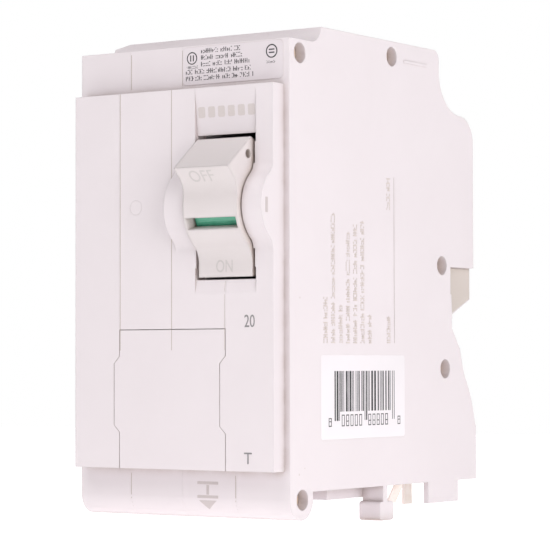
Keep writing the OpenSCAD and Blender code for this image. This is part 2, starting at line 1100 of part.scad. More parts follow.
module lug_screw(side) {
  color("silver")
    on_side(side)
      difference() {
        union() {
          bar_y(lug_x, screw_z, 1.85, 6, lug_y - 0.6);
          bar_y(lug_x, screw_z, 2.5, 4, 6.4);
        }
        block(lug_x - 3, lug_x + 3, 3, 5, screw_z - 0.4, screw_z + 0.4);
      }
}

// ---------- load jaw ----------

// Two thin leaves that plug down over the panel's load blade.
module load_jaw(side) {
  x1 = load_x - pole_x + blade_gap / 2;
  color("peru")
    in_pole(side)
      difference() {
        union() {
          block(x1, x1 + 0.5, load_y0, load_y1, load_tip, -30);
          block(-x1 + 2 * (load_x - pole_x) - 0.5, -x1 + 2 * (load_x - pole_x),
                load_y0, load_y1, -42, -30);
          along_y(load_y0, load_y1)
            polygon([
              [x1 - blade_gap - 0.5, -42],
              [x1 - blade_gap, -42],
              [x1 - blade_gap - 2.2, load_tip],
              [x1 - blade_gap - 2.7, load_tip]
            ]);
          block(-x1 + 2 * (load_x - pole_x) - 0.5, x1 + 0.5, load_y0, load_y1, -30.5, -30);
        }
      }
}

// Steel clip that squeezes the leaves together.
module jaw_clip(side) {
  mid = load_x - pole_x;
  color("slategray")
    in_pole(side)
      along_y(load_y0 + 0.4, load_y1 - 0.4) {
        area(mid - 2.1, mid + 2.1, -29.9, -29.3);
        area(mid - 2.1, mid - 1.5, -40, -29.4);
        area(mid + 1.5, mid + 2.1, -40, -29.4);
      }
}

// ---------- braids ----------

// Smooth points through four guide points.
function bend(a, b, c, d, n = 14) = [
  for (i = [0 : n])
    let (t = i / n, u = 1 - t)
    u * u * u * a + 3 * u * u * t * b + 3 * u * t * t * c + t * t * t * d
];

module braid(side) {
  arm = [2.6, carrier_y + 10 * sin(arm_open), carrier_z - 10 * cos(arm_open)];
  color("peru")
    in_pole(side)
      wire(bend([4, bimetal_y - 0.3, -7], [4.6, bimetal_y - 4, 12], [4, 30, 22], arm), 1, 10);
}

// ---------- the pieces ----------

left_cover();
left_base();
right_base();
right_cover();
front_plate();
rating_label();
side_label();
case_rivets();
handle();
handle_pin();
status_drum();
green_flag();
red_flag();
drive_pin();
toggle_spring();
contact_carrier();
carrier_shaft();
contact_arm(-1);  // left_contact_arm
contact_arm(1);  // right_contact_arm
moving_contact(-1);  // left_moving_contact
moving_contact(1);  // right_moving_contact
fixed_contact(-1);  // left_fixed_contact
fixed_contact(1);  // right_fixed_contact
line_jaw(-1);  // left_line_jaw
line_jaw(1);  // right_line_jaw
arc_plates(-1);  // left_arc_plates
arc_plates(1);  // right_arc_plates
arc_frame(-1);  // left_arc_frame
arc_frame(1);  // right_arc_frame
trip_bar();
trip_shaft();
trip_spring();
armature(-1);  // left_armature
armature(1);  // right_armature
armature_pins();
magnet_yoke(-1);  // left_magnet_yoke
magnet_yoke(1);  // right_magnet_yoke
bimetal(-1);  // left_bimetal
bimetal(1);  // right_bimetal
load_strap(-1);  // left_load_strap
load_strap(1);  // right_load_strap
wire_lug(-1);  // left_wire_lug
wire_lug(1);  // right_wire_lug
lug_screw(-1);  // left_lug_screw
lug_screw(1);  // right_lug_screw
calibration_screws();
load_jaw(-1);  // left_load_jaw
load_jaw(1);  // right_load_jaw
jaw_clip(-1);  // left_jaw_clip
jaw_clip(1);  // right_jaw_clip
braid(-1);  // left_braid
braid(1);  // right_braid
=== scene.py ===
"""Looks for a double-pole plug-on circuit breaker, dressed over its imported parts."""
import json
import math
import random

import bmesh
import bpy
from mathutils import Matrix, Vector
from mathutils.bvhtree import BVHTree


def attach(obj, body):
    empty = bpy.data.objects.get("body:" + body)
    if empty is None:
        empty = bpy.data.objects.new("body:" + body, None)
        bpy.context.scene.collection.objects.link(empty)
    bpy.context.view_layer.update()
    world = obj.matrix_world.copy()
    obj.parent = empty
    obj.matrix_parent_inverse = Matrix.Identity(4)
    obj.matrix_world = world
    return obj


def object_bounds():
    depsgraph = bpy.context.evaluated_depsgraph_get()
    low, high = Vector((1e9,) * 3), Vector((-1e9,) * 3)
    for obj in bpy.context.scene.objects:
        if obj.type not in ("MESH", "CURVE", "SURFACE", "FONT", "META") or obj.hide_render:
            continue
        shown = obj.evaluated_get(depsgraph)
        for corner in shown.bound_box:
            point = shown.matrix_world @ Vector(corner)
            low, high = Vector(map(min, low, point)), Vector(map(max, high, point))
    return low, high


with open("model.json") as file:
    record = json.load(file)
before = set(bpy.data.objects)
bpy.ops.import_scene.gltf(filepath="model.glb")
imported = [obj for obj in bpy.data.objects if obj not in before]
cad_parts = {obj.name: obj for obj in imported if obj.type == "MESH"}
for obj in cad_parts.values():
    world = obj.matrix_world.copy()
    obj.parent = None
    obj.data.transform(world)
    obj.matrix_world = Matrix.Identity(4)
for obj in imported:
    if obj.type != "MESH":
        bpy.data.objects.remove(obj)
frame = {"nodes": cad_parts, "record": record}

MM = 0.001
CAD_BOX = [list(corner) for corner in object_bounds()]
RIGHT = Vector((1, 0, 0))
BACK = Vector((0, 1, 0))
UP = Vector((0, 0, 1))
# In millimetres: from the middle of the case to a pole's own middle, and to the case's side.
POLE = 12.7
SIDE_X = 2 * POLE


# ---------------------------------------------------------------- node helpers

def plug(tree, node, name, value):
    """Links a socket to another node's socket, or sets it to a plain value."""
    socket = node.inputs[name]
    if isinstance(value, bpy.types.NodeSocket):
        tree.links.new(value, socket)
    else:
        socket.default_value = value


def sums(tree, how, first, second=0.0):
    """One step of arithmetic on two values."""
    node = tree.nodes.new("ShaderNodeMath")
    node.operation = how
    plug(tree, node, 0, first)
    plug(tree, node, 1, second)
    return node.outputs[0]


def spread(tree, value, low, high, to_low=0.0, to_high=1.0):
    """Stretches a band of values to a new band, clamped at its ends."""
    node = tree.nodes.new("ShaderNodeMapRange")
    node.clamp = True
    plug(tree, node, "Value", value)
    plug(tree, node, "From Min", low)
    plug(tree, node, "From Max", high)
    plug(tree, node, "To Min", to_low)
    plug(tree, node, "To Max", to_high)
    return node.outputs["Result"]


def blend(tree, amount, first, second, how="MIX"):
    """Mixes two colours."""
    node = tree.nodes.new("ShaderNodeMix")
    node.data_type = "RGBA"
    node.blend_type = how
    plug(tree, node, 0, amount)
    plug(tree, node, 6, first)
    plug(tree, node, 7, second)
    return node.outputs[2]


def place(tree):
    """Where a point sits on its own piece, in metres."""
    return tree.nodes.new("ShaderNodeTexCoord").outputs["Object"]


def clouds(tree, scale, detail=3.0, rough=0.5, where=None, bent=0.0):
    """Soft noise of a given fineness."""
    node = tree.nodes.new("ShaderNodeTexNoise")
    plug(tree, node, "Vector", where if where is not None else place(tree))
    plug(tree, node, "Scale", scale)
    plug(tree, node, "Detail", detail)
    plug(tree, node, "Roughness", rough)
    plug(tree, node, "Distortion", bent)
    return node.outputs["Fac"]


def effect(name, takes, gives):
    """An empty shader node group with named sockets, its inlet and its outlet."""
    group = bpy.data.node_groups.new(name, "ShaderNodeTree")
    for label, kind, start in takes:
        socket = group.interface.new_socket(name=label, in_out="INPUT", socket_type=kind)
        socket.default_value = start
    for label, kind in gives:
        group.interface.new_socket(name=label, in_out="OUTPUT", socket_type=kind)
    inlet = group.nodes.new("NodeGroupInput")
    outlet = group.nodes.new("NodeGroupOutput")
    return group, inlet.outputs, outlet


VALUE = "NodeSocketFloat"
VECTOR = "NodeSocketVector"


# ---------------------------------------------------------------- shared effects

def make_moulded_grain():
    """The fine skin of a spark-eroded mould, and the slow drift of its colour."""
    group, given, out = effect(
        "moulded grain",
        [("Fineness", VALUE, 4200.0), ("Drift", VALUE, 45.0)],
        [("Height", VALUE), ("Mottle", VALUE)],
    )
    fine = clouds(group, given["Fineness"], 4.0, 0.6)
    pits = clouds(group, sums(group, "MULTIPLY", given["Fineness"], 0.28), 2.0, 0.45)
    skin = sums(group, "MULTIPLY", fine, 0.62)
    skin = sums(group, "ADD", skin, sums(group, "MULTIPLY", pits, 0.38))
    group.links.new(skin, out.inputs["Height"])
    group.links.new(clouds(group, given["Drift"], 3.0, 0.55, bent=0.4), out.inputs["Mottle"])
    return group


def make_worn_and_highlit_edges():
    """A soft rounding of every sharp corner, and a mask of those corners for rubbed wear and for
    painted highlights.
    """
    group, given, out = effect(
        "worn and highlit edges",
        [("Rounding", VALUE, 0.00025), ("Breakup", VALUE, 900.0)],
        [("Rub and highlight", VALUE), ("Normal", VECTOR)],
    )
    rounded = group.nodes.new("ShaderNodeBevel")
    rounded.samples = 6
    group.links.new(given["Rounding"], rounded.inputs["Radius"])
    flat = group.nodes.new("ShaderNodeNewGeometry")
    turn = group.nodes.new("ShaderNodeVectorMath")
    turn.operation = "DOT_PRODUCT"
    group.links.new(rounded.outputs["Normal"], turn.inputs[0])
    group.links.new(flat.outputs["Normal"], turn.inputs[1])
    edge = spread(group, turn.outputs["Value"], 0.995, 0.82)
    patchy = spread(group, clouds(group, given["Breakup"], 4.0, 0.65), 0.42, 0.62)
    group.links.new(sums(group, "MULTIPLY", edge, patchy), out.inputs["Rub and highlight"])
    group.links.new(rounded.outputs["Normal"], out.inputs["Normal"])
    return group


def make_corner_dust_and_shade():
    """Grime that gathers where surfaces meet, with a painted shade in the corners and joints,
    thicker in some places than in others.
    """
    group, given, out = effect(
        "corner dust and shade", [("Reach", VALUE, 0.0016), ("Patches", VALUE, 260.0)], [("Dust and shade", VALUE)]
    )
    near = group.nodes.new("ShaderNodeAmbientOcclusion")
    near.samples = 6
    group.links.new(given["Reach"], near.inputs["Distance"])
    # Occlusion as a mask: painted shade where surfaces close in, in corners, creases and joints.
    crevice_shade = spread(group, near.outputs["AO"], 0.92, 0.35)
    patchy = spread(group, clouds(group, given["Patches"], 4.0, 0.6), 0.3, 0.7, 0.45, 1.0)
    group.links.new(sums(group, "MULTIPLY", crevice_shade, patchy), out.inputs["Dust and shade"])
    return group


def make_handling():
    """Faint smears and finger grease that change the sheen."""
    group, given, out = effect("handling", [("Size", VALUE, 90.0)], [("Smear", VALUE)])
    smear = clouds(group, given["Size"], 5.0, 0.62, bent=1.1)
    specks = clouds(group, sums(group, "MULTIPLY", given["Size"], 14.0), 2.0, 0.5)
    total = sums(group, "ADD", spread(group, smear, 0.38, 0.68),
                 spread(group, specks, 0.62, 0.78, 0.0, 0.5))
    group.links.new(sums(group, "MINIMUM", total, 1.0), out.inputs["Smear"])
    return group


def make_drawn_metal():
    """Fine lines along the way a strip or wire was drawn or rolled."""
    group, given, out = effect(
        "drawn metal",
        [("Stretch", VECTOR, (1.0, 1.0, 0.04)), ("Fineness", VALUE, 5200.0)],
        [("Lines", VALUE), ("Stain", VALUE)],
    )
    pull = group.nodes.new("ShaderNodeVectorMath")
    pull.operation = "MULTIPLY"
    group.links.new(place(group), pull.inputs[0])
    group.links.new(given["Stretch"], pull.inputs[1])
    lines = clouds(group, given["Fineness"], 3.0, 0.6, where=pull.outputs[0])
    group.links.new(lines, out.inputs["Lines"])
    stain = clouds(group, sums(group, "MULTIPLY", given["Fineness"], 0.035), 5.0, 0.6, bent=0.8)
    group.links.new(spread(group, stain, 0.4, 0.66), out.inputs["Stain"])
    return group


def make_print_wear():
    """Tiny gaps and thin spots in printed ink."""
    group, given, out = effect("print wear", [("Fineness", VALUE, 3800.0)], [("Thin", VALUE)])
    gaps = clouds(group, given["Fineness"], 3.0, 0.7)
    broad = clouds(group, sums(group, "MULTIPLY", given["Fineness"], 0.08), 2.0, 0.5)
    both = sums(group, "ADD", spread(group, gaps, 0.58, 0.74),
                spread(group, broad, 0.55, 0.8, 0.0, 0.35))
    group.links.new(sums(group, "MINIMUM", both, 1.0), out.inputs["Thin"])
    return group


GRAIN = make_moulded_grain()
EDGES = make_worn_and_highlit_edges()
DUST_AND_SHADE = make_corner_dust_and_shade()
HANDLING = make_handling()
DRAWN = make_drawn_metal()
PRINT_WEAR = make_print_wear()


def use(tree, group, **values):
    """Places a shared effect in a material with its own values."""
    node = tree.nodes.new("ShaderNodeGroup")
    node.node_tree = group
    for name, value in values.items():
        plug(tree, node, name, value)
    return node.outputs


# ---------------------------------------------------------------- finishes

def fresh(name, **fixed):
    """A new material with its Principled shader and the values that hold all over it."""
    made = bpy.data.materials.new(name)
    made.use_nodes = True
    tree = made.node_tree
    shader = tree.nodes["Principled BSDF"]
    for label, value in fixed.items():
        shader.inputs[label.replace("_", " ")].default_value = value
    return made, tree, shader


def rgb(red, green, blue):
    """A plain colour, fully opaque."""
    return (red, green, blue, 1.0)


def tinted(colour, gain, lift=0.0):
    """A colour made lighter or darker by a gain and a lift."""
    return rgb(*[min(1.0, c * gain + lift) for c in colour[:3]])


def raise_skin(tree, shader, height, normal, strength, depth):
    """Sends a height through a Bump node, over the rounded corners, to the shader."""
    bump = tree.nodes.new("ShaderNodeBump")
    bump.inputs["Strength"].default_value = strength
    bump.inputs["Distance"].default_value = depth
    tree.links.new(height, bump.inputs["Height"])
    if normal is not None:
        tree.links.new(normal, bump.inputs["Normal"])
    tree.links.new(bump.outputs["Normal"], shader.inputs["Normal"])


def moulded(name, base, drift, dirt_and_shade, sheen, grain=4200.0, rounding=0.00022, dust_and_shade_amount=0.7):
    """Satin moulded plastic: grain, colour drift, rubbed corners lightened partly as a painted
    highlight, dust and painted shade in the joints.
    """
    made, tree, shader = fresh(name, IOR=1.52, Specular_IOR_Level=0.42)
    skin = use(tree, GRAIN, Fineness=grain, Drift=42.0)
    edges = use(tree, EDGES, Rounding=rounding, Breakup=760.0)
    dust_and_shade = use(tree, DUST_AND_SHADE, Reach=0.0021, Patches=240.0)
    smear = use(tree, HANDLING, Size=70.0)
    colour = blend(tree, spread(tree, skin["Mottle"], 0.3, 0.7), base, drift)
    # Lighter colour along the rounded edges: partly rubbed wear, partly a painted highlight.
    lighter_edges = sums(tree, "MULTIPLY", edges["Rub and highlight"], 0.35)
    colour = blend(tree, lighter_edges, colour, tinted(base, 1.06))
    # The dirt colour laid by the occlusion mask: dust and a painted shade in corners and joints.
    colour = blend(tree, sums(tree, "MULTIPLY", dust_and_shade["Dust and shade"], dust_and_shade_amount), colour, dirt_and_shade)
    tree.links.new(colour, shader.inputs["Base Color"])
    rough = spread(tree, smear["Smear"], 0.0, 1.0, sheen, sheen + 0.12)
    rough = sums(tree, "ADD", rough, spread(tree, skin["Height"], 0.3, 0.7, -0.03, 0.05))
    rough = sums(tree, "SUBTRACT", rough, sums(tree, "MULTIPLY", edges["Rub and highlight"], 0.1))
    tree.links.new(rough, shader.inputs["Roughness"])
    raise_skin(tree, shader, skin["Height"], edges["Normal"], 0.32, 0.00002)
    return made


def phenolic():
    """Dark filled moulding with pale flecks of filler."""
    made, tree, shader = fresh("dark phenolic", IOR=1.5, Specular_IOR_Level=0.45)
    skin = use(tree, GRAIN, Fineness=3000.0, Drift=120.0)
    edges = use(tree, EDGES, Rounding=0.0002, Breakup=900.0)
    dust_and_shade = use(tree, DUST_AND_SHADE, Reach=0.0015, Patches=300.0)
    flecks = tree.nodes.new("ShaderNodeTexVoronoi")
    plug(tree, flecks, "Vector", place(tree))
    plug(tree, flecks, "Scale", 1900.0)
    fleck = spread(tree, flecks.outputs["Distance"], 0.16, 0.06)
    colour = blend(tree, skin["Mottle"], rgb(0.028, 0.028, 0.031), rgb(0.05, 0.048, 0.046))
    colour = blend(tree, sums(tree, "MULTIPLY", fleck, 0.5), colour, rgb(0.2, 0.18, 0.16))
    colour = blend(tree, sums(tree, "MULTIPLY", edges["Rub and highlight"], 0.6), colour, rgb(0.13, 0.125, 0.12))
    # Dust and a painted shade in corners and joints, from the occlusion mask.
    colour = blend(tree, sums(tree, "MULTIPLY", dust_and_shade["Dust and shade"], 0.3), colour, rgb(0.16, 0.14, 0.12))
    tree.links.new(colour, shader.inputs["Base Color"])
    tree.links.new(spread(tree, skin["Height"], 0.3, 0.7, 0.42, 0.58), shader.inputs["Roughness"])
    raise_skin(tree, shader, skin["Height"], edges["Normal"], 0.4, 0.00003)
    return made


def bright_flag(name, deep, light):
    """Glossy coloured strip with fine scratches, a little dust and a painted shade in its corners.
    """
    made, tree, shader = fresh(name, IOR=1.5, Coat_Weight=0.35, Coat_Roughness=0.12)
    skin = use(tree, GRAIN, Fineness=5200.0, Drift=260.0)
    scratch = use(tree, DRAWN, Stretch=(0.06, 1.0, 1.0), Fineness=4600.0)
    dust_and_shade = use(tree, DUST_AND_SHADE, Reach=0.0012, Patches=500.0)
    colour = blend(tree, skin["Mottle"], deep, light)
    scratched = spread(tree, scratch["Lines"], 0.62, 0.8, 0.0, 0.25)
    colour = blend(tree, scratched, colour, rgb(0.5, 0.62, 0.56))
    # Dust and a painted shade in corners and joints, from the occlusion mask.
    dust_and_shade_mix = sums(tree, "MULTIPLY", dust_and_shade["Dust and shade"], 0.35)
    colour = blend(tree, dust_and_shade_mix, colour, rgb(0.02, 0.03, 0.028))
    tree.links.new(colour, shader.inputs["Base Color"])
    tree.links.new(spread(tree, scratch["Lines"], 0.3, 0.75, 0.22, 0.4), shader.inputs["Roughness"])
    raise_skin(tree, shader, scratch["Lines"], None, 0.2, 0.00001)
    return made


def metal(name, clean, stained, along, sheen, stain=0.5, fineness=5200.0, rounding=0.00018):
    """Plated or bare metal with drawing lines, stains and brighter rubbed corners."""
    made, tree, shader = fresh(name, Metallic=1.0)
    drawn = use(tree, DRAWN, Stretch=along, Fineness=fineness)
    edges = use(tree, EDGES, Rounding=rounding, Breakup=1200.0)
    dust_and_shade = use(tree, DUST_AND_SHADE, Reach=0.001, Patches=420.0)
    colour = blend(tree, sums(tree, "MULTIPLY", drawn["Stain"], stain), clean, stained)
    colour = blend(tree, spread(tree, drawn["Lines"], 0.35, 0.7, 0.0, 0.3), colour, stained)
    lighter_edges = sums(tree, "MULTIPLY", edges["Rub and highlight"], 0.7)
    colour = blend(tree, lighter_edges, colour, tinted(clean, 1.15, 0.04))
    # Dust and a painted shade in corners and joints, from the occlusion mask.
    colour = blend(tree, sums(tree, "MULTIPLY", dust_and_shade["Dust and shade"], 0.4), colour, rgb(0.05, 0.04, 0.032))
    tree.links.new(colour, shader.inputs["Base Color"])
    rough = spread(tree, drawn["Lines"], 0.3, 0.7, sheen, sheen + 0.16)
    rough = sums(tree, "ADD", rough, sums(tree, "MULTIPLY", drawn["Stain"], 0.12))
    tree.links.new(rough, shader.inputs["Roughness"])
    raise_skin(tree, shader, drawn["Lines"], edges["Normal"], 0.3, 0.000012)
    return made


def vulcanised_fibre():
    """Layered red-brown board with a felted surface."""
    made, tree, shader = fresh("vulcanised fibre", IOR=1.48, Sheen_Weight=0.12)
    felt = use(tree, DRAWN, Stretch=(1.0, 0.22, 0.5), Fineness=2600.0)
    skin = use(tree, GRAIN, Fineness=1700.0, Drift=160.0)
    edges = use(tree, EDGES, Rounding=0.0002, Breakup=1000.0)
    colour = blend(tree, skin["Mottle"], rgb(0.17, 0.035, 0.02), rgb(0.26, 0.07, 0.04))
    fuzz = spread(tree, felt["Lines"], 0.4, 0.7, 0.0, 0.5)
    colour = blend(tree, fuzz, colour, rgb(0.36, 0.14, 0.09))
    colour = blend(tree, sums(tree, "MULTIPLY", edges["Rub and highlight"], 0.5), colour, rgb(0.42, 0.2, 0.14))
    tree.links.new(colour, shader.inputs["Base Color"])
    tree.links.new(spread(tree, felt["Lines"], 0.3, 0.7, 0.6, 0.82), shader.inputs["Roughness"])
    raise_skin(tree, shader, felt["Lines"], edges["Normal"], 0.5, 0.00004)
    return made


def braided_copper():
    """Fine copper strands crossing one another, dulled in the valleys."""
    made, tree, shader = fresh("braided copper", Metallic=1.0)
    strands = []
    for lean in (1.0, -1.0):
        weave = tree.nodes.new("ShaderNodeTexWave")
        weave.bands_direction = "DIAGONAL"
        turned = tree.nodes.new("ShaderNodeVectorMath")
        turned.operation = "MULTIPLY"
        tree.links.new(place(tree), turned.inputs[0])
        turned.inputs[1].default_value = (lean, 1.0, 1.0)
        tree.links.new(turned.outputs[0], weave.inputs["Vector"])
        plug(tree, weave, "Scale", 420.0)
        plug(tree, weave, "Distortion", 0.6)
        strands.append(weave.outputs["Fac"])
    crossing = sums(tree, "MAXIMUM", *strands)
    drawn = use(tree, DRAWN, Stretch=(1.0, 1.0, 1.0), Fineness=4000.0)
    colour = blend(tree, crossing, rgb(0.16, 0.055, 0.03), rgb(0.86, 0.42, 0.27))
    colour = blend(tree, sums(tree, "MULTIPLY", drawn["Stain"], 0.4), colour, rgb(0.34, 0.15, 0.08))
    tree.links.new(colour, shader.inputs["Base Color"])
    tree.links.new(spread(tree, crossing, 0.0, 1.0, 0.55, 0.26), shader.inputs["Roughness"])
    raise_skin(tree, shader, crossing, None, 0.8, 0.0001)
    return made


def label_film(name, tone):
    """Smooth printed film with the faintest orange peel and a little dust and painted shade at its
    edges.
    """
    made, tree, shader = fresh(name, IOR=1.5, Coat_Weight=0.25, Coat_Roughness=0.18)
    skin = use(tree, GRAIN, Fineness=1500.0, Drift=60.0)
    smear = use(tree, HANDLING, Size=120.0)
    dust_and_shade = use(tree, DUST_AND_SHADE, Reach=0.0006, Patches=400.0)
    mottle = spread(tree, skin["Mottle"], 0.3, 0.7)
    colour = blend(tree, mottle, tone, tinted(tone, 0.965))
    # Dust and a painted shade at the edges, from the occlusion mask.
    colour = blend(tree, sums(tree, "MULTIPLY", dust_and_shade["Dust and shade"], 0.25), colour, rgb(0.42, 0.38, 0.36))
    tree.links.new(colour, shader.inputs["Base Color"])
    tree.links.new(spread(tree, smear["Smear"], 0.0, 1.0, 0.3, 0.44), shader.inputs["Roughness"])
    raise_skin(tree, shader, skin["Height"], None, 0.12, 0.00001)
    return made


def ink(name, dark, worn):
    """Printed ink that has thin spots."""
    made, tree, shader = fresh(name, IOR=1.46)
    wear = use(tree, PRINT_WEAR, Fineness=4200.0)
    smear = use(tree, HANDLING, Size=300.0)
    tree.links.new(blend(tree, wear["Thin"], dark, worn), shader.inputs["Base Color"])
    tree.links.new(spread(tree, smear["Smear"], 0.0, 1.0, 0.38, 0.55), shader.inputs["Roughness"])
    raise_skin(tree, shader, wear["Thin"], None, 0.15, 0.00001)
    return made


def studio_floor():
    """Pale seamless sweep that glows a little, as a lit studio table does."""
    made, tree, shader = fresh("pale sweep", Roughness=0.9, Emission_Strength=0.64)
    tint = clouds(tree, 3.0, 2.0)
    tree.links.new(blend(tree, tint, rgb(0.95, 0.95, 0.95), rgb(0.97, 0.97, 0.97)),
                   shader.inputs["Base Color"])
    shader.inputs["Emission Color"].default_value = rgb(1.0, 1.0, 1.0)
    return made


FINISHES = {
    # Each moulding's third colour is its dirt colour, which the occlusion mask also lays as painted
    # shade in corners and joints.
    "case_plastic": moulded("white case moulding", rgb(0.66, 0.603, 0.623),
                            rgb(0.645, 0.588, 0.607), rgb(0.36, 0.28, 0.25), 0.46, dust_and_shade_amount=0.85),
    "handle_plastic": moulded("white handle moulding", rgb(0.61, 0.557, 0.558),
                              rgb(0.595, 0.542, 0.542), rgb(0.42, 0.33, 0.28), 0.34,
                              grain=5200.0, rounding=0.0007, dust_and_shade_amount=0.95),
    "label_film": label_film("white label film", rgb(0.74, 0.695, 0.72)),
    "dark_plastic": phenolic(),
    "green_plastic": bright_flag("green flag", rgb(0.065, 0.37, 0.225), rgb(0.11, 0.47, 0.31)),
    "red_plastic": bright_flag("red flag", rgb(0.4, 0.02, 0.016), rgb(0.52, 0.04, 0.03)),
    "steel": metal("zinc plated steel", rgb(0.56, 0.55, 0.53), rgb(0.36, 0.33, 0.3),
                   (1.0, 1.0, 0.08), 0.3),
    "copper": metal("bare copper strip", rgb(0.82, 0.43, 0.28), rgb(0.42, 0.19, 0.11),
                    (1.0, 0.06, 0.06), 0.26, 0.65),
    "contact_metal": metal("silver alloy", rgb(0.82, 0.81, 0.78), rgb(0.5, 0.46, 0.4),
                           (1.0, 1.0, 1.0), 0.34, 0.7, 3200.0),
    "fibre": vulcanised_fibre(),
    "bimetal": metal("rolled bimetal", rgb(0.6, 0.53, 0.43), rgb(0.4, 0.34, 0.27),
                     (1.0, 1.0, 0.03), 0.28, 0.4),
    "screw_brass": metal("turned brass", rgb(0.78, 0.6, 0.27), rgb(0.46, 0.33, 0.14),
                         (1.0, 0.08, 1.0), 0.26, 0.5),
}
BRAID = braided_copper()
BLACK_INK = ink("black print", rgb(0.02, 0.02, 0.022), rgb(0.3, 0.29, 0.3))
GREY_INK = ink("grey print", rgb(0.2, 0.19, 0.195), rgb(0.42, 0.4, 0.41))
PALE_INK = ink("pale grey print", rgb(0.5, 0.465, 0.46), rgb(0.64, 0.6, 0.6))
TAN_INK = ink("tan print", rgb(0.55, 0.49, 0.48), rgb(0.63, 0.575, 0.57))
ROSE_INK = ink("rose grey print", rgb(0.48, 0.42, 0.42), rgb(0.6, 0.54, 0.54))
SEAM_SHADE = ink("seam shadow", rgb(0.34, 0.27, 0.22), rgb(0.52, 0.45, 0.41))
MOULD_LINE = moulded("raised mould text", rgb(0.6, 0.52, 0.48), rgb(0.62, 0.545, 0.51),
                     rgb(0.4, 0.3, 0.24), 0.4)
RIVET_STEEL = metal("nickel-plated rivet", rgb(0.98, 0.85, 0.72), rgb(0.72, 0.6, 0.48),
                    (0.1, 1.0, 1.0), 0.5, 0.5)
TINNED = metal("tinned copper leaf", rgb(0.9, 0.84, 0.8), rgb(0.78, 0.6, 0.5),
               (1.0, 1.0, 0.06), 0.38, 0.35)
# A darker moulding for the floor of the recess beside the stab slot: painted shade for the recess.
RECESS_SHADE = moulded("recess shade moulding", rgb(0.49, 0.43, 0.395), rgb(0.53, 0.47, 0.44),
                       rgb(0.36, 0.29, 0.24), 0.55, grain=2600.0)
FACE_LABEL = label_film("silvered label film", rgb(0.66, 0.6, 0.625))


SPECIAL_FINISHES = {
    "braid": BRAID,
    "rating_label": FACE_LABEL,
    "case_rivets": RIVET_STEEL,
    "load_jaw": TINNED,
}


def dress_cad_nodes():
    """Gives every CAD node the finish of its slot, or the special one that its name ends with."""
    slots = {part["node"]: part["material_slot"] for part in frame["record"]["subparts"]}
    for name, piece in frame["nodes"].items():
        finish = FINISHES[slots[name]]
        for ending, special in SPECIAL_FINISHES.items():
            if name.endswith(ending):
                finish = special
        piece.data.materials.clear()
        piece.data.materials.append(finish)


dress_cad_nodes()


# ---------------------------------------------------------------- marks laid on surfaces

# In millimetres: where a ray starts outside a surface, how far it looks, and how deep a mark roots.
RAY_START, RAY_LENGTH, ROOT = 6, 14, 0.05


def surface_of(nodes):
    """A search tree of the surfaces of some CAD nodes together."""
    points, faces = [], []
    for node in nodes:
        mesh = frame["nodes"][node].data
        mesh.calc_loop_triangles()
        start = len(points)
        points += [v.co.copy() for v in mesh.vertices]
        faces += [tuple(start + i for i in t.vertices) for t in mesh.loop_triangles]
    return BVHTree.FromPolygons(points, faces)


def drop(tree, point, out):
    """The point on a surface straight below a point, looking against the outward way."""
    return tree.ray_cast(point + out * RAY_START * MM, -out, RAY_LENGTH * MM)[0]


def slice_across(bm, step):
    """Cuts a flat shape across at even heights, so that it can bend over a curve."""
    low, high = (pick(v.co.y for v in bm.verts) for pick in (min, max))
    for i in range(1, int((high - low) / step) + 1):
        whole = bm.verts[:] + bm.edges[:] + bm.faces[:]
        bmesh.ops.bisect_plane(bm, geom=whole, plane_co=(0, low + i * step, 0), plane_no=(0, 1, 0))


def lay(name, flat, origin, right, up, nodes, body, finish, rise=0.03, step=None):
    """Drapes a flat shape, drawn in millimetres, on CAD nodes as a thin raised mark."""
    out = right.cross(up)
    tree = surface_of(nodes)
    origin = Vector(origin) * MM
    bm = bmesh.new()
    bm.from_mesh(flat)
    bmesh.ops.remove_doubles(bm, verts=bm.verts, dist=0.001)
    if step:
        slice_across(bm, step)
    grown = bmesh.ops.extrude_face_region(bm, geom=bm.faces[:])
    top = {v for v in grown["geom"] if isinstance(v, bmesh.types.BMVert)}
    for v in bm.verts:
        point = origin + right * v.co.x * MM + up * v.co.y * MM
        base = drop(tree, point, out) or point
        v.co = base + out * (rise if v in top else -ROOT) * MM
    bmesh.ops.recalc_face_normals(bm, faces=bm.faces)
    mesh = bpy.data.meshes.new(name)
    bm.to_mesh(mesh)
    bm.free()
    piece = bpy.data.objects.new(name, mesh)
    bpy.context.scene.collection.objects.link(piece)
    mesh.materials.append(finish)
    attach(piece, body)


def lettering(text, height, width):
    """Flat letters or figures of a given size, with their lower left corner at zero."""
    longest_edge = 0.35
    curve = bpy.data.curves.new("letters", "FONT")
    curve.body = text
    curve.size = 10
    curve.resolution_u = 4
    carrier = bpy.data.objects.new("letters", curve)
    bpy.context.scene.collection.objects.link(carrier)
    bpy.context.view_layer.update()
    mesh = bpy.data.meshes.new_from_object(carrier)
    bpy.data.objects.remove(carrier)
    low_x, high_x = min(v.co.x for v in mesh.vertices), max(v.co.x for v in mesh.vertices)
    low_y, high_y = min(v.co.y for v in mesh.vertices), max(v.co.y for v in mesh.vertices)
    grow_y = height / (high_y - low_y)
    grow_x = width / (high_x - low_x)
    for v in mesh.vertices:
        v.co = Vector(((v.co.x - low_x) * grow_x, (v.co.y - low_y) * grow_y, 0))
    bm = bmesh.new()
    bm.from_mesh(mesh)
    bmesh.ops.triangulate(bm, faces=bm.faces)
    long_edges = [e for e in bm.edges if e.calc_length() > longest_edge]
    bmesh.ops.subdivide_edges(bm, edges=long_edges, cuts=2)
    bm.to_mesh(mesh)
    bm.free()
    return mesh


